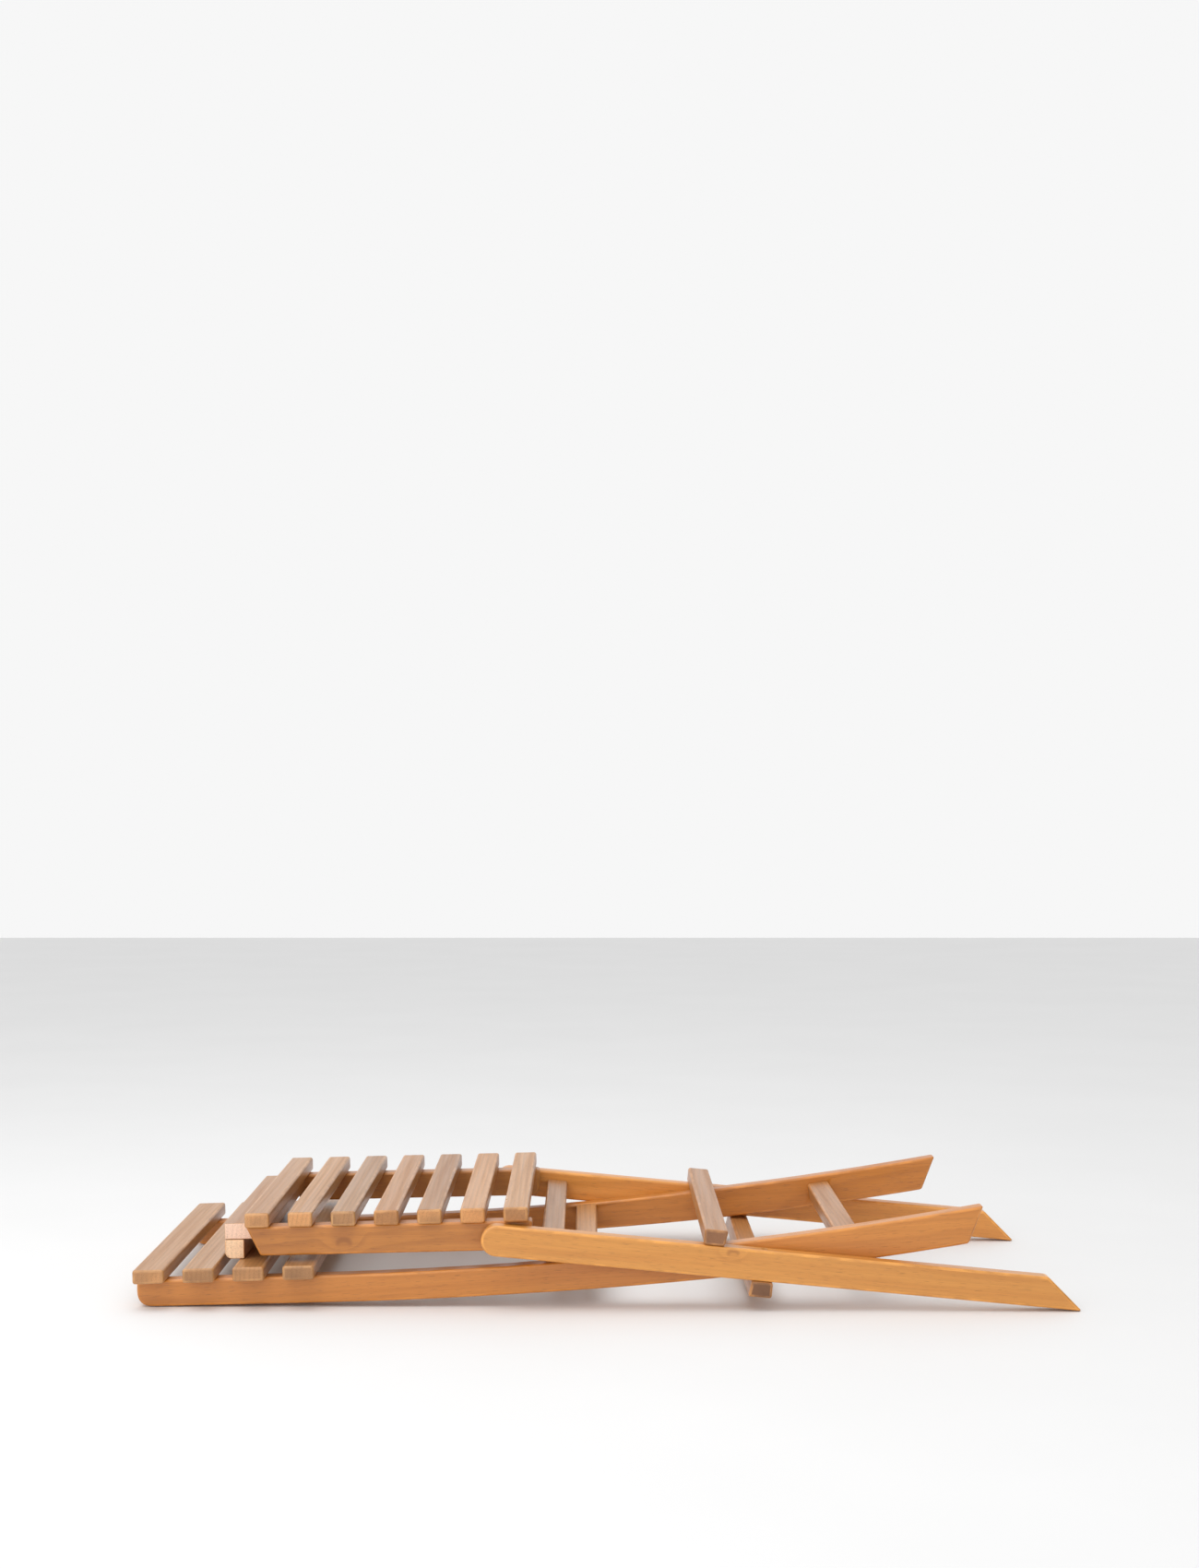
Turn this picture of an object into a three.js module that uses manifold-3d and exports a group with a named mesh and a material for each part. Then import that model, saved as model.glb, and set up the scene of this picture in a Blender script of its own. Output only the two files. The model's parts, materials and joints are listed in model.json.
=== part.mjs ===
// A slatted wooden folding chair, folded and lying on its back, in millimetres, +Z up.
//
// Two frames cross at a pivot, the back frame inside the leg frame. The seat hangs between the tops of
// the rear legs, and its hook drops over a catch rail of the back frame when the chair stands open.
// The head of the chair points along -X, its front faces +Z, and the sitter's left is +Y.
//
// Each frame is drawn in its own plane, x towards the feet and z towards the front:
//   back frame  origin at the cross pivot, x along the stile's middle line there
//   leg frame   origin at the cross pivot, x along the rear leg
//   seat frame  origin at the seat pivot, x towards the front edge of the seat
import * as THREE from "three";
import { mergeVertices } from "three/addons/utils/BufferGeometryUtils.js";
import Module from "manifold-3d";

const wasm = await Module();
wasm.setup();

// ---- Driving dimensions ----------------------------------------------------------------------------

// Across the chair
const overallWidth = 430; // over the rear legs, and the length of the back slats and stop bars
const boardThickness = 22; // stiles and rear legs
const sideGap = 2.1; // between two side members that turn against each other
const hookSideClearance = 2; // from the end of the hook to the stile that it passes

// Gaps
const seam = 0.3; // between pieces that are glued or screwed together
const restGap = 0.5; // between pieces that come to rest on each other
const latchClearance = 0.8; // around the catch rail when it sits in the hook

// Rear leg
const legDepth = 35;
const pivotSpacing = 274; // cross pivot to seat pivot
const legFootReach = 370; // cross pivot to the ground

// Back stile: bowed from the foot to the lowest back slat, straight behind the slats
const stileFootReach = 275; // cross pivot to the ground
const stileBowLength = 468; // cross pivot to the end of the bow
const stileBowRadius = 5150;
const stileStraightLength = 216;
const stileDepthAtFoot = 39.5;
const stileDepthAtPivot = 38;
const stileDepthAtNeck = 32.5;
const stileNeckReach = 250; // cross pivot to the neck
const stileDepthAtTop = 30;
const stileTopCornerRadius = 18;

// Back slats
const backSlatCount = 4;
const backSlatWidth = 35.5;
const backSlatThickness = 16;
const backSlatPitch = 56.4;

// Seat
const seatRailDepth = 33.5;
const seatRailNose = 40; // seat pivot to the front end of the rail
const seatRailNoseRadius = 10;
const seatSlatCount = 7;
const seatSlatWidth = 28;
const seatSlatThickness = 17;
const seatSlatPitch = 48.9;
const seatSlatNoseInset = 4; // front end of the rail to the first slat
const seatSlatEndInset = 12.5; // end of the slat to the outer face of the rear leg
const seatSlatClearance = 0.8; // from the rounded leg top to the slats that swing round it
const hookReach = 277; // seat pivot to the edge of the hook board that rests on the catch rail
const hookBoardLap = 13; // how far the hook board runs on towards the front of that edge
const hookBlockDepth = 22;
const hookBlockHeight = 22;
const hookBlockRounding = 8;
const hookTenonSetback = 2; // from the edge of the hook board to its tenon
const hookTenonWidth = 9;
const hookTenonLength = 8;
const hookScrewInset = 66.6; // from the end of the hook to its screws

// Cross rails
const catchRailReach = 171.5; // cross pivot to the middle of the catch rail
const catchRailWidth = 26;
const catchRailThickness = 15;
const stretcherReach = 131; // cross pivot to the middle of the front stretcher
const stretcherWidth = 27;
const stretcherThickness = 22;
const topRailReach = 211; // cross pivot to the middle of the rail between the leg tops
const topRailWidth = 26;
const topRailThickness = 15;
const tenonLength = 9;
const tenonShoulder = 4.5; // how far each tenon stands in from the faces of its rail

// Stop bars
const stopBarReach = 41; // cross pivot to the far edge of the bar
const stopBarThickness = 18;
const stopBarScrewInset = 12; // from the far edge of the bar

// Travel
const foldedAngle = 12; // between the stile and the leg at the cross pivot, degrees
const overTravel = 3.5; // degrees past the hooked pose to the stop bars, room to lift the hook off its rail

// Hardware
const pinRadius = 4;
const pinDepthInLeg = 14;
const pinDepthInInnerBoard = 15;
const washerRadius = 9;
const screwRadius = 2;
const screwHeadRadius = 4;
const screwHeadHeight = 2.5;
const screwBite = 10; // how far a screw reaches into the piece that it holds
const screwGrip = 20; // the wood between its head and that piece
const screwTipLength = 3;
const boreClearance = 0.3; // round pins and screws

// Smoothness
const bowSteps = 22;
const cornerSteps = 8;
const pinSides = 24;
const screwSides = 10;
const floorTries = 200; // places 1 mm apart along the stile, each tried as the one that touches the floor

// Cutting
const cutOverrun = 1; // how far a cut starts outside the wood, and a hole runs on past its screw
const footAllowance = 60; // drawn past the ground, and cut off along it
const cuttingBlockSize = 600;
const weldDistance = 1e-4;

// ---- Finishes --------------------------------------------------------------------------------------

const wood = (r, g, b) =>
  new THREE.MeshStandardMaterial({ color: new THREE.Color(r, g, b), roughness: 0.5, metalness: 0 });
const frameWood = wood(0.62, 0.35, 0.15);
const slatWood = wood(0.58, 0.36, 0.2);
const railWood = wood(0.5, 0.28, 0.13);
const steel = new THREE.MeshStandardMaterial({ color: 0xb4b6b8, roughness: 0.35, metalness: 1 });

// ---- Solids ----------------------------------------------------------------------------------------

function solidOf(geometry) {
  const bare = geometry.clone();
  bare.deleteAttribute("normal");
  bare.deleteAttribute("uv");
  const merged = mergeVertices(bare, weldDistance);
  return new wasm.Manifold(
    new wasm.Mesh({
      numProp: 3,
      vertProperties: new Float32Array(merged.attributes.position.array),
      triVerts: new Uint32Array(merged.index.array),
    }),
  );
}

function geometryOf(solid) {
  const { vertProperties, triVerts } = solid.getMesh();
  const geometry = new THREE.BufferGeometry();
  geometry.setAttribute("position", new THREE.BufferAttribute(new Float32Array(vertProperties), 3));
  geometry.setIndex(new THREE.BufferAttribute(new Uint32Array(triVerts), 1));
  const faceted = geometry.toNonIndexed();
  faceted.computeVertexNormals();
  return faceted;
}

const carved = (solid, cuts) => cuts.reduce((left, cut) => left.subtract(cut), solid);
const point = (x, z) => new THREE.Vector2(x, z);
const origin = point(0, 0);
const turned = (p, angle) => p.clone().rotateAround(origin, angle);
const mix = (a, b, share) => a + (b - a) * share;

// A box, its middle at p in the frame's plane and at y across it, turned by angle in that plane.
function boxAt(p, y, length, across, height, angle = 0) {
  const box = new THREE.BoxGeometry(length, across, height).rotateY(-angle);
  return solidOf(box.translate(p.x, y, p.y));
}

// A flat board of that outline, between two distances across the frame.
function board(outline, yFrom, yTo) {
  const depth = yTo - yFrom;
  const slab = new THREE.ExtrudeGeometry(outline, { depth, bevelEnabled: false, curveSegments: cornerSteps });
  return solidOf(slab.rotateX(Math.PI / 2).translate(0, yTo, 0));
}

// A round bar across the frame.
function barAcross(p, radius, yFrom, yTo, sides = pinSides) {
  const bar = new THREE.CylinderGeometry(radius, radius, yTo - yFrom, sides);
  return solidOf(bar.translate(p.x, (yFrom + yTo) / 2, p.y));
}

// Everything on the far side of the line through p at that angle, to its right when looking along it.
function beyond(p, angle) {
  const size = cuttingBlockSize;
  const middle = p.clone().add(turned(point(0, -size / 2), angle));
  return boxAt(middle, 0, size, size, size, angle);
}

// A shape turned round the axis that runs from p at that angle, drawn as (radius, distance along) points.
function lathed(profile, p, y, angle, sides) {
  const shape = new THREE.LatheGeometry(profile.map(([r, h]) => point(r, h)), sides);
  shape.rotateX(Math.PI / 2).rotateY(Math.PI / 2 - angle);
  return solidOf(shape.translate(p.x, y, p.y));
}

// A wood screw with its head at p, pointing at that angle, and the hole that takes it.
const screwLength = screwGrip + screwBite;
function screw(p, y, angle, length = screwLength) {
  const profile = [
    [0, 0],
    [screwHeadRadius, 0],
    [screwRadius, screwHeadHeight],
    [screwRadius, length - screwTipLength],
    [0, length],
  ];
  return lathed(profile, p, y, angle, screwSides);
}
function screwHole(p, y, angle, counterbore, length = screwLength) {
  const head = screwHeadRadius + boreClearance * 2;
  const shank = screwRadius + boreClearance;
  const floor = screwHeadHeight + boreClearance;
  const end = length + cutOverrun;
  const profile = [
    [0, -counterbore],
    [head, -counterbore],
    [head, boreClearance],
    [shank, floor],
    [shank, end],
    [0, end],
  ];
  return lathed(profile, p, y, angle, screwSides);
}

// ---- Across the chair: distances of each face from its middle ---------------------------------------

const legOuter = overallWidth / 2;
const legInner = legOuter - boardThickness;
const stileOuter = legInner - sideGap;
const stileInner = stileOuter - boardThickness;
const railOuter = stileOuter;
const railInner = stileInner - hookSideClearance;
const hookHalfLength = railInner - seam;
const sides = [
  { name: "right", hand: -1 },
  { name: "left", hand: 1 },
];
const span = (hand, near, far) => (hand > 0 ? [near, far] : [-far, -near]);

// ---- Back frame shape ------------------------------------------------------------------------------

const stileTopReach = stileBowLength + stileStraightLength;

function stileDepth(s) {
  if (s > 0) return mix(stileDepthAtPivot, stileDepthAtFoot, s / stileFootReach);
  if (s > -stileNeckReach) return mix(stileDepthAtPivot, stileDepthAtNeck, -s / stileNeckReach);
  const share = (-s - stileNeckReach) / (stileTopReach - stileNeckReach);
  return mix(stileDepthAtNeck, stileDepthAtTop, share);
}

// The point at a distance s from the pivot along the stile, and so far in front of its middle line.
function stilePoint(s, front = 0) {
  const bowed = Math.max(s, -stileBowLength) / stileBowRadius;
  const arc = point(Math.sin(bowed), 1 - Math.cos(bowed)).multiplyScalar(stileBowRadius);
  const rest = turned(point(Math.min(s + stileBowLength, 0), 0), bowed);
  return arc.add(rest).add(turned(point(0, front), bowed));
}
const stileFront = (s, proud = 0) => stilePoint(s, stileDepth(s) / 2 + proud);
const stileRear = (s) => stilePoint(s, -stileDepth(s) / 2);
const frontAngle = (s, stretch = 1) => stileFront(s + stretch).sub(stileFront(s - stretch)).angle();

// ---- The linkage: how the frames lie to each other, open and folded --------------------------------

const railTop = legDepth / 2 + seatSlatClearance; // above the seat pivot
const railBottom = railTop - seatRailDepth;
const seatPivot = point(-pivotSpacing, 0); // in the leg frame

// Open: the hook board's edge rests on the upper front edge of the catch rail.
const catchTop = -catchRailReach - catchRailWidth / 2;
const catchAngle = frontAngle(-catchRailReach);
const hookSeat = stileFront(catchTop).add(turned(point(-latchClearance, latchClearance), catchAngle));
const cosineRule = (near, side, opposite) =>
  Math.acos((near ** 2 + side ** 2 - opposite ** 2) / (2 * near * side));
const openAtPivot = cosineRule(pivotSpacing, hookSeat.length(), hookReach);
const openAtSeat = cosineRule(pivotSpacing, hookReach, hookSeat.length());
const stileOpen = Math.PI + openAtPivot - hookSeat.angle();
const seatOpen = Math.PI - openAtSeat;

const stileStopped = stileOpen + overTravel * THREE.MathUtils.DEG2RAD;
const openBackToLeg = (p) => turned(p, stileOpen);
const openBackToSeat = (p) => turned(openBackToLeg(p).sub(seatPivot), -seatOpen);

// The ground runs through the ends of both middle lines.
const stileFoot = stilePoint(stileFootReach);
const legFoot = point(legFootReach, 0);
const groundInLeg = openBackToLeg(stileFoot).sub(legFoot).angle();
const groundInBack = groundInLeg - stileOpen;
const legTip = point(legFootReach - (legDepth / 2) / Math.tan(groundInLeg), -legDepth / 2);

// Open: where the catch rail's rear edge lies in the seat frame, and so where the hook block starts.
const catchRear = stileFront(catchTop, -catchRailThickness);
const hookBlockFront = openBackToSeat(catchRear).x - latchClearance;
const hookRear = hookBlockFront - hookBlockDepth;
const hookBlockBottom = -seam - hookBlockHeight;

// Folded: the hook block rests on the back slats.
const stileFolded = foldedAngle * THREE.MathUtils.DEG2RAD;
const slatPlaneAngle = frontAngle(-stileTopReach);
const slatPlanePoint = turned(stileFront(-stileTopReach, seam + backSlatThickness + restGap), stileFolded);
const slatPlaneNormal = turned(point(0, 1), slatPlaneAngle + stileFolded);
const pivotAboveSlats = slatPlaneNormal.dot(seatPivot.clone().sub(slatPlanePoint));
const seatFolded = Math.min(
  ...[hookBlockFront, hookRear + hookBlockRounding].map((x) => {
    const corner = point(x, hookBlockBottom);
    const lean = Math.acos(-pivotAboveSlats / corner.length());
    return slatPlaneNormal.angle() - corner.angle() + lean;
  }),
);

// ---- Scene graph -----------------------------------------------------------------------------------

const chair = new THREE.Group();
const backFrame = new THREE.Group();
const legFrame = new THREE.Group();
const seatFrame = new THREE.Group();
chair.add(backFrame, legFrame, seatFrame);
backFrame.rotation.y = -stileFolded;
seatFrame.position.set(seatPivot.x, 0, seatPivot.y);
seatFrame.rotation.y = -seatFolded;

function place(group, name, solid, material) {
  const mesh = new THREE.Mesh(geometryOf(solid), material);
  mesh.name = name;
  group.add(mesh);
}

// A rail between two side boards, its middle at p, with a stub tenon at each end.
function tenonedRail(p, angle, width, thickness, halfLength) {
  const body = boxAt(p, 0, width, 2 * (halfLength - seam), thickness, angle);
  const [w, t] = [width - 2 * tenonShoulder, thickness - 2 * tenonShoulder];
  return body.add(boxAt(p, 0, w, 2 * (halfLength + tenonLength), t, angle));
}
function mortise(p, angle, width, thickness, hand, halfLength) {
  const narrowing = 2 * (tenonShoulder - boreClearance);
  const [yFrom, yTo] = span(hand, halfLength - cutOverrun, halfLength + tenonLength + boreClearance);
  const [w, t] = [width - narrowing, thickness - narrowing];
  return boxAt(p, (yFrom + yTo) / 2, w, yTo - yFrom, t, angle);
}

// ---- Back frame ------------------------------------------------------------------------------------

const stileMiddle = (stileInner + stileOuter) / 2;
const catchMiddle = stileFront(-catchRailReach, -catchRailThickness / 2);
const stretcherMiddle = stilePoint(stretcherReach);
const stretcherAngle = stretcherReach / stileBowRadius;
const backSlats = Array.from({ length: backSlatCount }, (_, i) => {
  const s = -stileTopReach + backSlatWidth / 2 + i * backSlatPitch;
  return { s, angle: frontAngle(s), middle: stileFront(s, seam + backSlatThickness / 2) };
});

// A back slat's screw: its head sits in the stile, and it points at the slat.
function backScrew({ s, angle }) {
  const head = stileFront(s, -screwGrip);
  return { head, angle: angle + Math.PI / 2, counterbore: stileDepth(s) };
}

function stileOutline() {
  const outline = new THREE.Shape();
  const start = stileFront(-stileTopReach);
  outline.moveTo(start.x, start.y);
  const rearStart = -stileTopReach + stileTopCornerRadius;
  const topRear = stilePoint(-stileTopReach, -stileDepthAtTop / 2);
  const topTurn = stilePoint(-stileTopReach, -stileDepthAtTop / 2 + stileTopCornerRadius);
  outline.lineTo(topTurn.x, topTurn.y);
  const rearTurn = stileRear(rearStart);
  outline.quadraticCurveTo(topRear.x, topRear.y, rearTurn.x, rearTurn.y);
  const step = (stileFootReach + footAllowance - rearStart) / bowSteps;
  for (let i = 1; i <= bowSteps; i++) {
    const p = stileRear(rearStart + i * step);
    outline.lineTo(p.x, p.y);
  }
  for (let i = bowSteps; i > 0; i--) {
    const p = stileFront(rearStart + i * step);
    outline.lineTo(p.x, p.y);
  }
  outline.closePath();
  return outline;
}

for (const { name, hand } of sides) {
  const [yFrom, yTo] = span(hand, stileInner, stileOuter);
  const [pinFrom, pinTo] = span(hand, stileOuter - pinDepthInInnerBoard, stileOuter + cutOverrun);
  const stile = carved(board(stileOutline(), yFrom, yTo), [
    beyond(stileFoot, groundInBack),
    barAcross(origin, pinRadius + boreClearance, pinFrom, pinTo),
    mortise(catchMiddle, catchAngle, catchRailWidth, catchRailThickness, hand, stileInner),
    mortise(stretcherMiddle, stretcherAngle, stretcherWidth, stretcherThickness, hand, stileInner),
    ...backSlats.map((slat) => {
      const { head, angle, counterbore } = backScrew(slat);
      return screwHole(head, hand * stileMiddle, angle, counterbore);
    }),
  ]);
  place(backFrame, `back_stile_${name}`, stile, frameWood);
}

backSlats.forEach((slat, i) => {
  const plain = boxAt(slat.middle, 0, backSlatWidth, overallWidth, backSlatThickness, slat.angle);
  const { head, angle } = backScrew(slat);
  const holes = sides.map(({ hand }) => screwHole(head, hand * stileMiddle, angle, cutOverrun));
  place(backFrame, `back_slat_${i + 1}`, carved(plain, holes), slatWood);
  for (const { name, hand } of sides) {
    place(backFrame, `back_slat_${i + 1}_screw_${name}`, screw(head, hand * stileMiddle, angle), steel);
  }
});

place(
  backFrame,
  "seat_catch_rail",
  tenonedRail(catchMiddle, catchAngle, catchRailWidth, catchRailThickness, stileInner),
  railWood,
);
place(
  backFrame,
  "front_stretcher",
  tenonedRail(stretcherMiddle, stretcherAngle, stretcherWidth, stretcherThickness, stileInner),
  railWood,
);

// ---- Leg frame -------------------------------------------------------------------------------------

const legMiddle = (legInner + legOuter) / 2;
const topRailMiddle = point(-topRailReach, 0);

function legOutline() {
  const half = legDepth / 2;
  const end = legFootReach + footAllowance;
  const outline = new THREE.Shape();
  outline.absarc(seatPivot.x, 0, half, Math.PI / 2, 1.5 * Math.PI, false);
  outline.lineTo(end, -half);
  outline.lineTo(end, half);
  outline.closePath();
  return outline;
}

// The bar in front of the legs stands on the head side of the pivot, the bar behind them on the foot side.
const stopBars = [
  { name: "upper_stop_bar", side: 1 },
  { name: "lower_stop_bar", side: -1 },
].map(({ name, side }) => {
  const middle = point(-side * stopBarReach / 2, side * (legDepth / 2 + seam + stopBarThickness / 2));
  const screwAt = point(-side * (stopBarReach - stopBarScrewInset), side * (legDepth / 2 - screwGrip));
  return { name, side, middle, screwAt, angle: side * Math.PI / 2 };
});

for (const { name, hand } of sides) {
  const [yFrom, yTo] = span(hand, legInner, legOuter);
  const [pinFrom, pinTo] = span(hand, legInner - cutOverrun, legInner + pinDepthInLeg);
  const leg = carved(board(legOutline(), yFrom, yTo), [
    beyond(legFoot, groundInLeg),
    barAcross(origin, pinRadius + boreClearance, pinFrom, pinTo),
    barAcross(seatPivot, pinRadius + boreClearance, pinFrom, pinTo),
    mortise(topRailMiddle, 0, topRailWidth, topRailThickness, hand, legInner),
    ...stopBars.map((bar) => screwHole(bar.screwAt, hand * legMiddle, bar.angle, legDepth)),
  ]);
  place(legFrame, `rear_leg_${name}`, leg, frameWood);
}

for (const bar of stopBars) {
  const plain = boxAt(bar.middle, 0, stopBarReach, overallWidth, stopBarThickness);
  const face = turned(point(0, bar.side * (stileDepthAtPivot / 2 + restGap)), stileStopped);
  const cuts = [
    beyond(face, bar.side > 0 ? stileStopped : stileStopped + Math.PI),
    ...sides.map(({ hand }) => screwHole(bar.screwAt, hand * legMiddle, bar.angle, cutOverrun)),
  ];
  place(legFrame, bar.name, carved(plain, cuts), railWood);
  for (const { name, hand } of sides) {
    place(legFrame, `${bar.name}_screw_${name}`, screw(bar.screwAt, hand * legMiddle, bar.angle), steel);
  }
}
place(
  legFrame,
  "leg_top_rail",
  tenonedRail(topRailMiddle, 0, topRailWidth, topRailThickness, legInner),
  railWood,
);

// ---- Seat ------------------------------------------------------------------------------------------

const railMiddle = (railInner + railOuter) / 2;
const seatSlats = Array.from({ length: seatSlatCount }, (_, i) => {
  const fromRear = seatSlatCount - 1 - i;
  return seatRailNose - seatSlatNoseInset - seatSlatWidth / 2 - fromRear * seatSlatPitch;
});
const seatScrewHead = railTop - screwGrip;
const hookBoardFront = -hookReach + hookBoardLap;
const hookTenonFront = hookBoardFront - hookTenonSetback;
const hookTenonMiddle = point(hookTenonFront - hookTenonWidth / 2, railTop / 2);
const hookTenonHeight = railTop / 2;

function railOutline() {
  const outline = new THREE.Shape();
  const rear = hookRear; // cut back to the open stile below
  const corner = seatRailNoseRadius;
  outline.moveTo(rear, railBottom);
  outline.lineTo(seatRailNose - corner, railBottom);
  outline.absarc(seatRailNose - corner, railBottom + corner, corner, -Math.PI / 2, 0, false);
  outline.lineTo(seatRailNose, railTop);
  outline.lineTo(rear, railTop);
  outline.closePath();
  return outline;
}
const bevelPoint = openBackToSeat(stileFront(catchTop, latchClearance));
const bevelAngle = catchAngle + stileOpen - seatOpen;

const upwards = Math.PI / 2;
const heldByRails = seatSlats.slice(1); // the rearmost slat is held by the hook board
const seatSlatLength = 2 * (legOuter - seatSlatEndInset);
for (const { name, hand } of sides) {
  const [yFrom, yTo] = span(hand, railInner, railOuter);
  const [pinFrom, pinTo] = span(hand, railOuter - pinDepthInInnerBoard, railOuter + cutOverrun);
  const tenonEnd = railInner + hookTenonLength + boreClearance;
  const [tenonFrom, tenonTo] = span(hand, railInner - cutOverrun, tenonEnd);
  const tenonMiddle = (tenonFrom + tenonTo) / 2;
  const play = 2 * boreClearance;
  const rail = carved(board(railOutline(), yFrom, yTo), [
    beyond(bevelPoint, bevelAngle),
    barAcross(origin, pinRadius + boreClearance, pinFrom, pinTo),
    boxAt(hookTenonMiddle, tenonMiddle, hookTenonWidth + play, tenonTo - tenonFrom, hookTenonHeight + play),
    ...heldByRails.map((x) => screwHole(point(x, seatScrewHead), hand * railMiddle, upwards, seatRailDepth)),
  ]);
  place(seatFrame, `seat_rail_${name}`, rail, frameWood);
}

// Each seat slat's screws: the rearmost slat is held by the hook board, the others by the rails.
const hookScrewSpread = hookHalfLength - hookScrewInset;
const hookBoardScrewAt = point(hookBoardFront - hookBoardLap / 2, boreClearance);
const hookBoardScrewLength = railTop + screwBite;
const hookBlockMiddle = point((hookBlockFront + hookRear) / 2, hookBlockBottom + hookBlockHeight / 2);
const hookBlockScrewLength = hookBlockHeight / 2 + screwBite;

seatSlats.forEach((x, i) => {
  const middle = point(x, railTop + seam + seatSlatThickness / 2);
  const plain = boxAt(middle, 0, seatSlatWidth, seatSlatLength, seatSlatThickness);
  const held = i === 0
    ? { at: hookBoardScrewAt, spread: hookScrewSpread, length: hookBoardScrewLength }
    : { at: point(x, seatScrewHead), spread: railMiddle, length: screwLength };
  const holes = sides.map(({ hand }) => {
    return screwHole(held.at, hand * held.spread, upwards, cutOverrun, held.length);
  });
  place(seatFrame, `seat_slat_${i + 1}`, carved(plain, holes), slatWood);
  for (const { name, hand } of sides) {
    const fastener = screw(held.at, hand * held.spread, upwards, held.length);
    place(seatFrame, `seat_slat_${i + 1}_screw_${name}`, fastener, steel);
  }
});

const hookBoardMiddle = point((hookRear + hookBoardFront) / 2, railTop / 2);
const hookBoard = boxAt(hookBoardMiddle, 0, hookBoardFront - hookRear, 2 * hookHalfLength, railTop).add(
  boxAt(hookTenonMiddle, 0, hookTenonWidth, 2 * (railInner + hookTenonLength), hookTenonHeight),
);

// The block's lower rear edge is rounded, so that it rides over the back slats.
function hookBlockOutline() {
  const outline = new THREE.Shape();
  const r = hookBlockRounding;
  outline.moveTo(hookRear, -seam);
  outline.lineTo(hookRear, hookBlockBottom + r);
  outline.absarc(hookRear + r, hookBlockBottom + r, r, Math.PI, 1.5 * Math.PI, false);
  outline.lineTo(hookBlockFront, hookBlockBottom);
  outline.lineTo(hookBlockFront, -seam);
  outline.closePath();
  return outline;
}
const hookBlock = board(hookBlockOutline(), -hookHalfLength, hookHalfLength);
const blockHoles = sides.map(({ hand }) =>
  screwHole(hookBlockMiddle, hand * hookScrewSpread, upwards, hookBlockHeight, hookBlockScrewLength),
);
const slatHoles = sides.map(({ hand }) =>
  screwHole(hookBoardScrewAt, hand * hookScrewSpread, upwards, cutOverrun, hookBoardScrewLength),
);
place(seatFrame, "hook_board", carved(hookBoard, [...slatHoles, ...blockHoles]), railWood);
place(seatFrame, "hook_block", carved(hookBlock, blockHoles), railWood);
for (const { name, hand } of sides) {
  const fastener = screw(hookBlockMiddle, hand * hookScrewSpread, upwards, hookBlockScrewLength);
  place(seatFrame, `hook_block_screw_${name}`, fastener, steel);
}

// ---- Pivot hardware --------------------------------------------------------------------------------

function pivotHardware(group, p, label, innerFace) {
  for (const { name, hand } of sides) {
    const pinInner = innerFace - pinDepthInInnerBoard + boreClearance;
    const pinOuter = legInner + pinDepthInLeg - boreClearance;
    const pin = barAcross(p, pinRadius, ...span(hand, pinInner, pinOuter));
    place(group, `${label}_pin_${name}`, pin, steel);
    const [yFrom, yTo] = span(hand, innerFace + seam, legInner - seam);
    const disc = barAcross(p, washerRadius, yFrom, yTo);
    const bore = barAcross(p, pinRadius + boreClearance, yFrom - cutOverrun, yTo + cutOverrun);
    place(group, `${label}_washer_${name}`, disc.subtract(bore), steel);
  }
}
pivotHardware(backFrame, origin, "cross_pivot", stileOuter);
pivotHardware(seatFrame, origin, "seat_pivot", railOuter);

// ---- On the floor ----------------------------------------------------------------------------------

// The chair lies on the tips of its rear legs and on the bow of its stiles.
const floorSlope = Math.max(
  ...Array.from({ length: floorTries }, (_, i) => {
    const p = turned(stileRear(-stileTopReach + stileTopCornerRadius + i), stileFolded);
    return (legTip.y - p.y) / (legTip.x - p.x);
  }),
);
chair.rotation.y = Math.atan(floorSlope);

const part = new THREE.Group();
part.add(chair);
part.updateMatrixWorld(true);
const bounds = new THREE.Box3().setFromObject(chair, true);
chair.position.set(-(bounds.min.x + bounds.max.x) / 2, 0, -bounds.min.z);

export default part;
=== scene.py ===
"""A folding chair of oiled hardwood, folded flat on a pale floor.

Metres, +Z up, the head of the chair at -X. Each board is a copy of its solid in the frame with the outline
rounded over, in a finish of its own. Screws, pins and washers keep their solids and are plated.
"""
import json
import math
import random

import bpy
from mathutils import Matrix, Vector


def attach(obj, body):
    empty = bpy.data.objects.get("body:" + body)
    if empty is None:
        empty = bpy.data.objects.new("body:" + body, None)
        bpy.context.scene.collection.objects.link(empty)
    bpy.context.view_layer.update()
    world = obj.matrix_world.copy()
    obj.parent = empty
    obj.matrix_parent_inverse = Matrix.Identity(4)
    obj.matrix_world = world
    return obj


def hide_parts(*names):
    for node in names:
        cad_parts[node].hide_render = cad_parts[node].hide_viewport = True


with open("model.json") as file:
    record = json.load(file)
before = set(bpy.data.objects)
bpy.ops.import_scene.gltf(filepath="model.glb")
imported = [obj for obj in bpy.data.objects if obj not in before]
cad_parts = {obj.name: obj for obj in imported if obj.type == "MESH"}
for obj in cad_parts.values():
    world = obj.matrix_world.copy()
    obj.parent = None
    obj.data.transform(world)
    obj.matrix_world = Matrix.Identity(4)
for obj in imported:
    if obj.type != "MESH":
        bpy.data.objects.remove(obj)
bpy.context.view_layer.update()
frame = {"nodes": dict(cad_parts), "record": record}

BODIES = frame["record"]["behaviour"]["bodies"]

# Boards
ROUNDING = 0.003             # edge rounding
HOOK_ROUNDING = 0.0012       # on the hook, whose screws are near its edges
ROUNDING_STEPS = 4
SHARP = math.radians(35)     # faces that meet at more than this have an edge between them
FLAT = math.radians(0.1)     # and at less than this they are one face
WELD = 1e-5                  # corners closer than this are one
LARGEST_HOLE = 0.03          # across any bore or mortise

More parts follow.
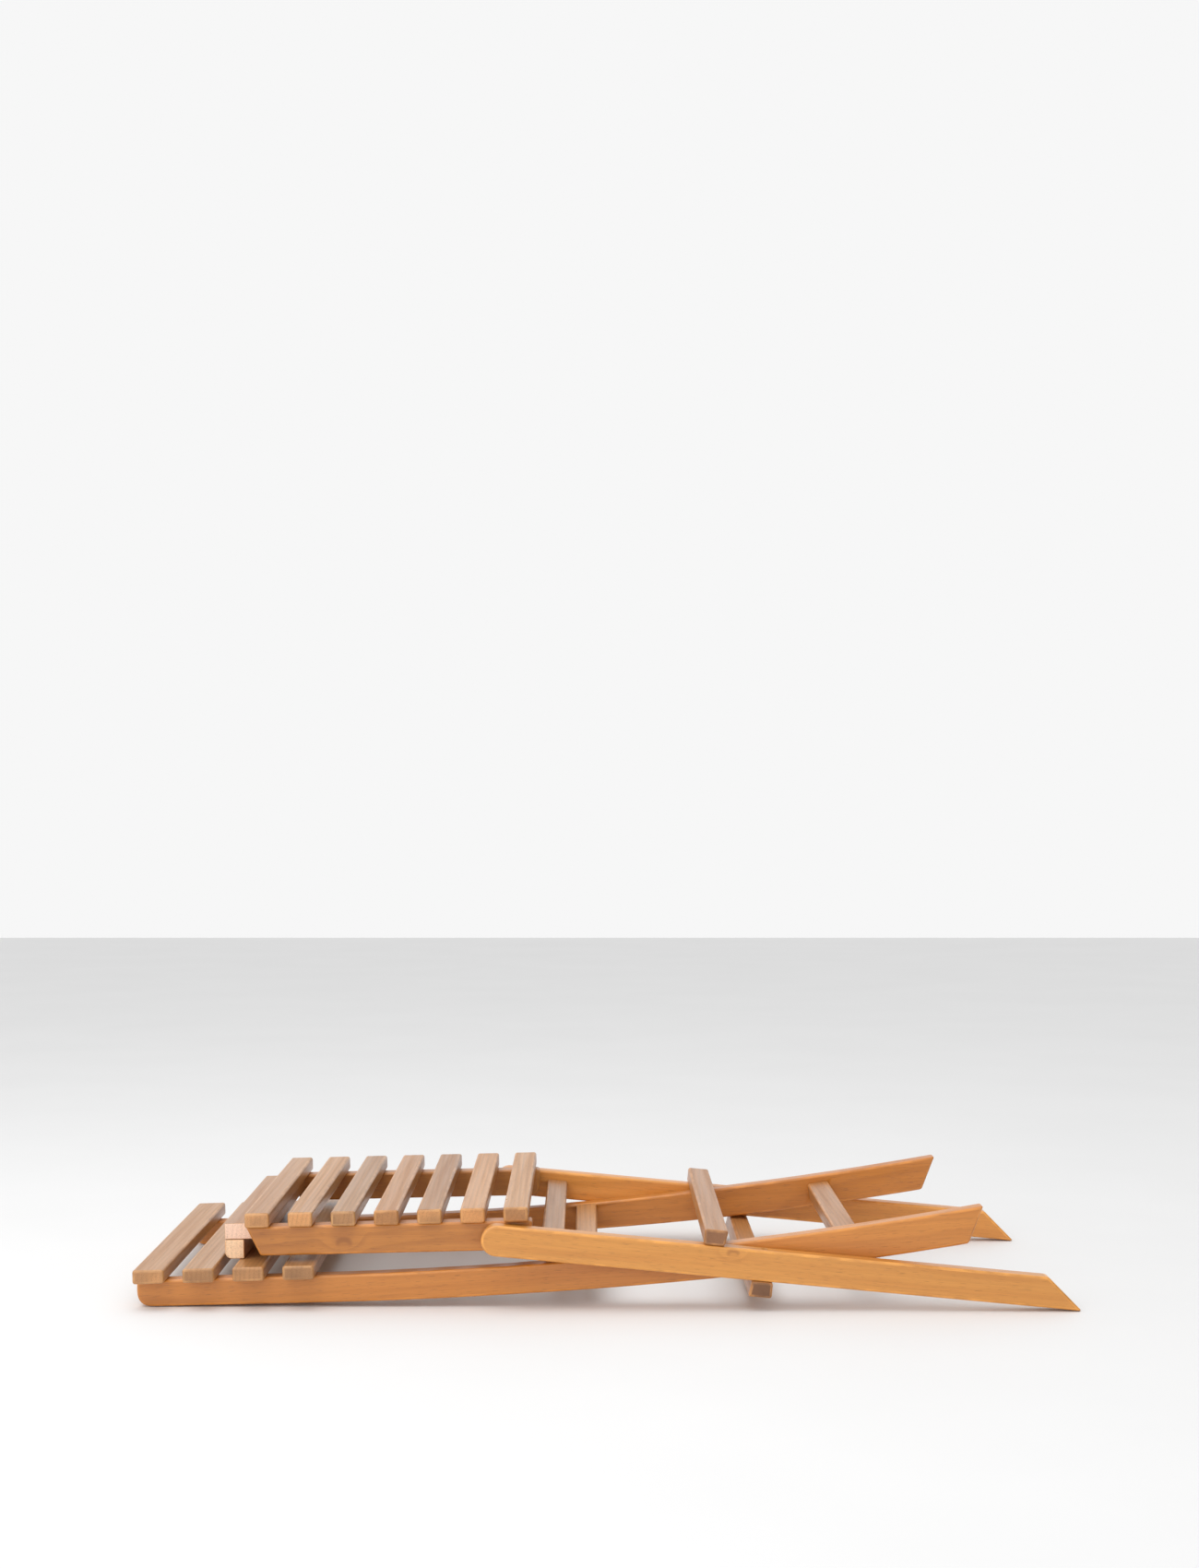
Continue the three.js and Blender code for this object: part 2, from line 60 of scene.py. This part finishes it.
# Grain
RING_SPACING = 0.0052        # between growth rings
RING_WANDER = 0.015          # how far the rings drift along a board
RING_RIPPLE = 0.0016         # how far they waver
LARGEST_SHIFT = 9            # of a board's grain each way, so that no two boards match
PORE_DEPTH = 0.0004          # of the relief from the lowest pore to the highest fibre
KNOT_SHAPE = (1, 0.15, 1.5)  # long through the board, along Y, and wider than tall
PUPIL_SHAPE = (1, 0.15, 1.9)

# Floor
FLOOR_SIZE = 14
FLOOR_GAP = 0.0005           # between the chair and the floor

# Finishes, as linear colours: pale wood, mid wood, the dark lines of the grain, and the cut ends
GOLDEN = ((0.78, 0.37, 0.086), (0.64, 0.275, 0.053), (0.38, 0.135, 0.025), (0.66, 0.32, 0.1))
AMBER = ((0.62, 0.255, 0.049), (0.5, 0.185, 0.03), (0.29, 0.092, 0.015), (0.54, 0.24, 0.067))
TAN = ((0.54, 0.28, 0.105), (0.42, 0.19, 0.06), (0.2, 0.077, 0.022), (0.48, 0.225, 0.08))
BROWN = ((0.53, 0.25, 0.086), (0.4, 0.175, 0.051), (0.19, 0.071, 0.02), (0.2, 0.085, 0.033))
PALE_ENDED = (*TAN[:3], (0.76, 0.52, 0.38))

# Each kind of board: the word in its name, its palette, its edge rounding and its finish slot. A board is
# of the first kind that fits, and the last kind fits them all.
KINDS = (
    ("hook", PALE_ENDED, HOOK_ROUNDING, "rail_wood"),
    ("slat", TAN, ROUNDING, "slat_wood"),
    ("back_stile", AMBER, ROUNDING, "frame_wood"),
    ("seat_rail", AMBER, ROUNDING, "frame_wood"),
    ("rear_leg", GOLDEN, ROUNDING, "frame_wood"),
    ("", BROWN, ROUNDING, "rail_wood"),
)
STEEL_WORDS = ("screw", "pin", "washer")

# Knots, by board: the middle of each and its size
KNOTS = {
    "seat_rail_right": [((-0.299, -0.19, 0.073), 0.0105)],
    "rear_leg_right": [((0.142, -0.215, 0.066), 0.008)],
}


# ---- Shader helpers --------------------------------------------------------------------------------

class Shader:
    """A material's node tree, with short calls for the nodes that the finishes use."""

    def __init__(self, name):
        self.material = bpy.data.materials.new(name)
        self.material.use_nodes = True
        self.tree = self.material.node_tree
        self.surface = self.tree.nodes["Principled BSDF"]

    def node(self, kind, **settings):
        made = self.tree.nodes.new(kind)
        for key, value in settings.items():
            setattr(made, key, value)
        return made

    def feed(self, socket, value):
        if isinstance(value, bpy.types.NodeSocket):
            self.tree.links.new(value, socket)
        else:
            socket.default_value = value

    def math(self, operation, a, b=0.0, clamp=False):
        made = self.node("ShaderNodeMath", operation=operation, use_clamp=clamp)
        self.feed(made.inputs[0], a)
        self.feed(made.inputs[1], b)
        return made.outputs[0]

    def remap(self, value, low, high, to_low=0.0, to_high=1.0):
        made = self.node("ShaderNodeMapRange", interpolation_type="SMOOTHSTEP")
        for socket, number in zip(made.inputs, (value, low, high, to_low, to_high)):
            self.feed(socket, number)
        return made.outputs[0]

    def mix(self, factor, a, b):
        """A blend of two colours. Sockets 6, 7 and 2 are the node's colour sockets."""
        made = self.node("ShaderNodeMix", data_type="RGBA")
        self.feed(made.inputs["Factor"], factor)
        self.feed(made.inputs[6], a)
        self.feed(made.inputs[7], b)
        return made.outputs[2]

    def mapped(self, vector, location=(0, 0, 0), rotation=(0, 0, 0), scale=(1, 1, 1)):
        made = self.node("ShaderNodeMapping")
        self.feed(made.inputs["Vector"], vector)
        made.inputs["Location"].default_value = location
        made.inputs["Rotation"].default_value = rotation
        made.inputs["Scale"].default_value = scale
        return made.outputs[0]

    def noise(self, vector, scale, detail=2.0, roughness=0.5):
        made = self.node("ShaderNodeTexNoise")
        self.feed(made.inputs["Vector"], self.mapped(vector, scale=scale))
        made.inputs["Scale"].default_value = 1.0
        made.inputs["Detail"].default_value = detail
        made.inputs["Roughness"].default_value = roughness
        return made.outputs["Fac"]

    def part(self, vector, axis):
        made = self.node("ShaderNodeSeparateXYZ")
        self.feed(made.inputs[0], vector)
        return made.outputs[axis]

    def distance(self, vector, point, stretch):
        offset = tuple(-p * s for p, s in zip(point, stretch))
        length = self.node("ShaderNodeVectorMath", operation="LENGTH")
        self.feed(length.inputs[0], self.mapped(vector, location=offset, scale=stretch))
        return length.outputs["Value"]


def rgba(colour, gain):
    return (*(min(1.0, channel * gain) for channel in colour), 1.0)


# ---- Wood ------------------------------------------------------------------------------------------

def ring_distance(shader, chance, along, local):
    """How far a place is from a pith that runs beside the board and wanders along it."""
    lean = chance.uniform(-0.045, 0.045)
    pith = (0, chance.choice((-1, 1)) * chance.uniform(0.01, 0.05), chance.uniform(-0.06, -0.02))
    centred = shader.mapped(along, location=pith, rotation=(0, lean, lean))
    squares = [shader.math("POWER", shader.part(centred, axis), 2.0) for axis in "YZ"]
    radius = shader.math("POWER", shader.math("ADD", *squares), 0.5)
    wander = shader.noise(local, (1.0, 7, 7), detail=1.0)
    ripple = shader.noise(local, (3, 60, 60), detail=1.0)
    bent = shader.math("ADD", radius, shader.math("MULTIPLY", wander, RING_WANDER))
    return shader.math("ADD", bent, shader.math("MULTIPLY", ripple, RING_RIPPLE))


def knot(shader, place, middle, size):
    """How far a knot pushes the rings aside, and its dark crescent."""
    reach = shader.distance(place, middle, KNOT_SHAPE)
    bulge = shader.remap(reach, size * 3.2, size * 0.5)
    eye = (middle[0], middle[1], middle[2] - size * 0.28)
    pupil = shader.remap(shader.distance(place, eye, PUPIL_SHAPE), size * 0.8, size * 0.35)
    heart = shader.remap(reach, size * 1.15, size * 0.6)
    crescent = shader.math("SUBTRACT", heart, shader.math("MULTIPLY", pupil, 0.7), clamp=True)
    return shader.math("MULTIPLY", bulge, size * 0.55), crescent


def late_wood(shader, rings, local):
    """The dark outer part of each ring, which comes and goes along the board."""
    ring = shader.math("FRACT", shader.math("DIVIDE", rings, RING_SPACING))
    darkening = shader.remap(ring, 0.35, 0.86)
    ending = shader.remap(ring, 1.0, 0.9)
    late = shader.math("MULTIPLY", darkening, ending)
    strength = shader.remap(shader.noise(local, (1.5, 26, 26)), 0.3, 0.75, 0.3, 1.0)
    return shader.math("MULTIPLY", late, strength)


def figure(shader, local):
    """The finer marks of the wood, each a value from 0 to 1 that runs with the grain."""
    return {
        "fibres": shader.noise(local, (11, 520, 520), detail=3.0, roughness=0.6),
        "streaks": shader.noise(local, (3.2, 120, 120), detail=3.0),
        "pores": shader.remap(shader.noise(local, (70, 1500, 1500), detail=1.0), 0.62, 0.72),
        "drift": shader.noise(local, (0.7, 5, 5), detail=1.0),
        "flush": shader.noise(local, (1.1, 26, 26)),
    }


def face_colour(shader, marks, tones, gain):
    """The long faces: slow drifts of pale and mid wood, under thin layers of the dark tone."""
    pale, mid, dark, _ = tones
    colour = shader.mix(shader.remap(marks["drift"], 0.25, 0.75), rgba(mid, gain), rgba(pale, gain))
    layers = (
        (shader.remap(marks["flush"], 0.48, 0.74, 0.0, 0.24), gain * 1.3),
        (shader.math("MULTIPLY", marks["late"], 0.36), gain),
        (shader.remap(marks["streaks"], 0.42, 0.72, 0.0, 0.3), gain * 1.35),
        (shader.remap(marks["fibres"], 0.35, 0.75, 0.0, 0.22), gain),
        (shader.math("MULTIPLY", marks["pores"], 0.45), 0.55),
        (shader.math("MULTIPLY", marks["core"], 0.6), 0.85),
    )
    for share, brightness in layers:
        colour = shader.mix(share, colour, rgba(dark, brightness))
    return colour


def end_colour(shader, marks, tones, gain, end_gain, local):
    """End grain, with the rings as faint arcs and the open vessels as specks."""
    _, _, dark, sawn = tones
    clouds = shader.remap(marks["flush"], 0.35, 0.65)
    colour = shader.mix(clouds, rgba(sawn, end_gain * 0.82), rgba(sawn, end_gain * 1.12))
    vessels = shader.remap(shader.noise(local, (900, 900, 900), detail=1.0), 0.5, 0.7)
    colour = shader.mix(shader.math("MULTIPLY", marks["late"], 0.22), colour, rgba(dark, gain))
    return shader.mix(shader.math("MULTIPLY", vessels, 0.3), colour, rgba(dark, gain * 0.7))


def wood_relief(shader, marks):
    """Raised fibres, sunk pores and slightly sunk rings."""
    fibres = shader.math("MULTIPLY", marks["fibres"], 0.5)
    height = shader.math("SUBTRACT", fibres, shader.math("MULTIPLY", marks["pores"], 0.8))
    height = shader.math("SUBTRACT", height, shader.math("MULTIPLY", marks["late"], 0.25))
    bump = shader.node("ShaderNodeBump")
    bump.inputs["Strength"].default_value = 0.35
    bump.inputs["Distance"].default_value = PORE_DEPTH
    shader.feed(bump.inputs["Height"], height)
    shader.feed(shader.surface.inputs["Normal"], bump.outputs[0])


def wood(name, palette, grain_turn, knots):
    """Oiled wood. grain_turn is the rotation that brings the grain of the piece onto X."""
    chance = random.Random(name)
    shader = Shader(name + "_wood")
    coordinates = shader.node("ShaderNodeTexCoord")
    place = coordinates.outputs["Object"]
    along = shader.mapped(place, rotation=grain_turn)
    shift = tuple(chance.uniform(-LARGEST_SHIFT, LARGEST_SHIFT) for _ in range(3))
    local = shader.mapped(along, location=shift)

    rings = ring_distance(shader, chance, along, local)
    core = 0.0
    for middle, size in knots:
        bulge, crescent = knot(shader, place, middle, size)
        rings = shader.math("ADD", rings, bulge)
        core = shader.math("MAXIMUM", core, crescent)
    marks = {"late": late_wood(shader, rings, local), "core": core, **figure(shader, local)}

    # Each board has its own brightness and warmth, and its own shade at the ends
    gain = chance.uniform(0.82, 1.12)
    red = chance.uniform(0.97, 1.09)
    end_gain = gain * chance.uniform(0.8, 1.25)
    tones = [(tone[0] * red, tone[1], tone[2] / red ** 2) for tone in palette]
    normal = shader.mapped(coordinates.outputs["Normal"], rotation=grain_turn)
    end = shader.remap(shader.math("ABSOLUTE", shader.part(normal, "X")), 0.55, 0.85)
    faces = face_colour(shader, marks, tones, gain)
    colour = shader.mix(end, faces, end_colour(shader, marks, tones, gain, end_gain, local))

    # Rubbed edges are paler and smoother: the paleness is partly wear and partly a painted highlight along
    # the rounded edges
    wear_and_highlight = shader.node("ShaderNodeAttribute", attribute_name="wear_and_highlight").outputs["Fac"]
    patches = shader.remap(shader.noise(local, (30, 60, 60), detail=3.0), 0.4, 0.66, 0.1, 0.6)
    rubbed_and_highlit = shader.math("MULTIPLY", wear_and_highlight, patches)
    shader.feed(shader.surface.inputs["Base Color"], shader.mix(rubbed_and_highlit, colour, rgba(tones[0], 1.22)))
    gloss = shader.remap(marks["streaks"], 0.3, 0.75, 0.3, 0.44)
    gloss = shader.math("ADD", gloss, shader.math("MULTIPLY", end, 0.16))
    gloss = shader.math("SUBTRACT", gloss, shader.math("MULTIPLY", rubbed_and_highlit, 0.06))
    shader.feed(shader.surface.inputs["Roughness"], gloss)
    shader.surface.inputs["Specular IOR Level"].default_value = 0.6
    shader.surface.inputs["Coat Weight"].default_value = 0.12
    shader.surface.inputs["Coat Roughness"].default_value = 0.3
    wood_relief(shader, marks)
    return shader.material


def steel():
    """Bright zinc-plated steel with a faint cloudiness."""
    shader = Shader("plated_steel")
    place = shader.node("ShaderNodeTexCoord").outputs["Object"]
    cloud = shader.noise(place, (220, 220, 220), detail=3.0)
    colour = shader.mix(cloud, (0.42, 0.43, 0.44, 1.0), (0.68, 0.68, 0.66, 1.0))
    shader.feed(shader.surface.inputs["Base Color"], colour)
    shader.feed(shader.surface.inputs["Roughness"], shader.remap(cloud, 0.3, 0.7, 0.28, 0.46))
    shader.surface.inputs["Metallic"].default_value = 1.0
    return shader.material


# ---- Boards ----------------------------------------------------------------------------------------

def only_select(piece):
    bpy.ops.object.select_all(action="DESELECT")
    bpy.context.view_layer.objects.active = piece
    piece.select_set(True)


def sharp_edges(mesh):
    """The edges, as pairs of vertices, where two faces meet at a clear angle."""
    normals = {}
    for face in mesh.polygons:
        for ends in face.edge_keys:
            normals.setdefault(ends, []).append(face.normal)
    return [ends for ends, (one, other) in normals.items() if one.angle(other) > SHARP]


def outline(mesh):
    """The sharp edges round a board, without the small separate loops round its bores and mortises."""
    sharp = sharp_edges(mesh)
    beside = {}
    for a, b in sharp:
        beside.setdefault(a, set()).add(b)
        beside.setdefault(b, set()).add(a)
    wanted = set()
    while beside:
        loop = set()
        reached = [next(iter(beside))]
        while reached:
            corner = reached.pop()
            if corner in beside:
                loop.add(corner)
                reached.extend(beside.pop(corner))
        places = [mesh.vertices[corner].co for corner in loop]
        size = max(max(p[axis] for p in places) - min(p[axis] for p in places) for axis in range(3))
        if size > LARGEST_HOLE:
            wanted |= loop
    return {ends for ends in sharp if ends[0] in wanted}


def rounded_board(node, rounding):
    """The plain board with its outline rounded over. The rounded faces carry the wear and the painted
    highlight.
    """
    piece = bpy.data.objects.new(node + "_wood", frame["nodes"][node].data.copy())
    bpy.context.scene.collection.objects.link(piece)
    piece.data.materials.clear()
    only_select(piece)
    bpy.ops.object.mode_set(mode="EDIT")
    bpy.ops.mesh.select_all(action="SELECT")
    bpy.ops.mesh.remove_doubles(threshold=WELD)
    bpy.ops.mesh.dissolve_limited(angle_limit=FLAT)
    bpy.ops.mesh.quads_convert_to_tris(quad_method="BEAUTY", ngon_method="BEAUTY")
    bpy.ops.mesh.select_mode(type="EDGE")
    bpy.ops.mesh.select_all(action="DESELECT")
    bpy.ops.object.mode_set(mode="OBJECT")
    rim = outline(piece.data)
    for edge in piece.data.edges:
        edge.select = edge.key in rim
    bpy.ops.object.mode_set(mode="EDIT")
    bpy.ops.mesh.bevel(
        offset=rounding, segments=ROUNDING_STEPS, profile=0.5, affect="EDGES",
        clamp_overlap=False, loop_slide=False,
    )
    bpy.ops.object.mode_set(mode="OBJECT")
    mark_wear_and_highlight(piece)
    bpy.ops.object.shade_smooth_by_angle(angle=SHARP)
    flats = piece.modifiers.new("flats", "WEIGHTED_NORMAL")
    flats.keep_sharp = True
    bpy.ops.object.modifier_apply(modifier=flats.name)
    return piece


def mark_wear_and_highlight(piece):
    """Writes the wear and painted highlight of each corner: full on the rounded faces, which the bevel
    leaves selected.
    """
    wear_and_highlight = piece.data.attributes.new("wear_and_highlight", "FLOAT", "CORNER")
    for face in piece.data.polygons:
        for corner in face.loop_indices:
            wear_and_highlight.data[corner].value = 1.0 if face.select else 0.0


# ---- The chair's own pieces ------------------------------------------------------------------------

ACROSS = (0, 0, -math.pi / 2)


def slope(node):
    """The angle of a side board in the XZ plane, from the middle of its -X half to that of its +X half."""
    corners = [v.co for v in frame["nodes"][node].data.vertices]
    middle = sum(corners, Vector()) / len(corners)
    near = [c for c in corners if c.x < middle.x]
    far = [c for c in corners if c.x >= middle.x]
    run = sum(far, Vector()) / len(far) - sum(near, Vector()) / len(near)
    return math.atan2(run.z, run.x)


def make_board(node, body):
    """One board in its own wood, riding on its body in place of its solid."""
    palette, rounding, slot = next(kind[1:] for kind in KINDS if kind[0] in node)
    grain_turn = (0, slope(node), 0) if slot == "frame_wood" else ACROSS
    piece = rounded_board(node, rounding)
    piece.data.materials.append(wood(node, palette, grain_turn, KNOTS.get(node, ())))
    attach(piece, body)
    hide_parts(node)


plated = steel()
for body, nodes in BODIES.items():
    for node in nodes:
        if any(word in node for word in STEEL_WORDS):
            frame["nodes"][node].data.materials.clear()
            frame["nodes"][node].data.materials.append(plated)
        else:
            make_board(node, body)


# ---- Floor, light and camera -----------------------------------------------------------------------

def pale_floor():
    bpy.ops.mesh.primitive_plane_add(size=FLOOR_SIZE, location=(0, 0, -FLOOR_GAP))
    floor = bpy.context.object
    floor.name = "floor"
    shader = Shader("pale_floor")
    place = shader.node("ShaderNodeTexCoord").outputs["Object"]
    cloud = shader.noise(place, (3, 3, 3), detail=3.0)
    colour = shader.mix(cloud, (0.8, 0.8, 0.8, 1), (0.84, 0.84, 0.84, 1))
    shader.feed(shader.surface.inputs["Base Color"], colour)
    shader.surface.inputs["Roughness"].default_value = 0.7
    floor.data.materials.append(shader.material)


def soft_light(name, place, target, size, power):
    lamp = bpy.data.lights.new(name, "AREA")
    lamp.shape = "RECTANGLE"
    lamp.size, lamp.size_y = size
    lamp.energy = power
    holder = bpy.data.objects.new(name, lamp)
    holder.location = place
    holder.rotation_euler = (Vector(target) - Vector(place)).to_track_quat("-Z", "Y").to_euler()
    bpy.context.scene.collection.objects.link(holder)


def surround():
    """White all round, and dimmer towards +X, which leaves the slats' foot sides in shade."""
    world = bpy.data.worlds.new("studio")
    world.use_nodes = True
    nodes = world.node_tree.nodes
    links = world.node_tree.links
    way = nodes.new("ShaderNodeTexCoord")
    split = nodes.new("ShaderNodeSeparateXYZ")
    dim = nodes.new("ShaderNodeMapRange")
    dim.interpolation_type = "SMOOTHSTEP"
    dim.inputs["From Min"].default_value = 0.4
    dim.inputs["From Max"].default_value = 0.85
    dim.inputs["To Min"].default_value = 0.93
    dim.inputs["To Max"].default_value = 0.25
    links.new(way.outputs["Generated"], split.inputs[0])
    links.new(split.outputs["X"], dim.inputs["Value"])
    links.new(dim.outputs[0], nodes["Background"].inputs["Strength"])
    nodes["Background"].inputs["Color"].default_value = (1, 1, 1, 1)
    bpy.context.scene.world = world


def studio():
    surround()
    bpy.context.scene.view_settings.view_transform = "Standard"
    soft_light("overhead", place=(-0.9, -0.6, 2.6), target=(0, 0, 0), size=(2.2, 2.0), power=30)
    soft_light("front", place=(-1.4, -2.7, 1.1), target=(0, 0, 0.1), size=(2.2, 1.6), power=16)


def camera():
    data = bpy.data.cameras.new("camera")
    data.lens = 51.04
    data.sensor_width = 36
    data.shift_x = 0.0065
    data.shift_y = 0.0153
    eye = bpy.data.objects.new("camera", data)
    eye.location = (-0.02, -2.718, 0.567)
    eye.rotation_euler = (math.pi / 2, 0, 0)
    bpy.context.scene.collection.objects.link(eye)
    bpy.context.scene.camera = eye


pale_floor()
studio()
camera()

bpy.context.view_layer.update()
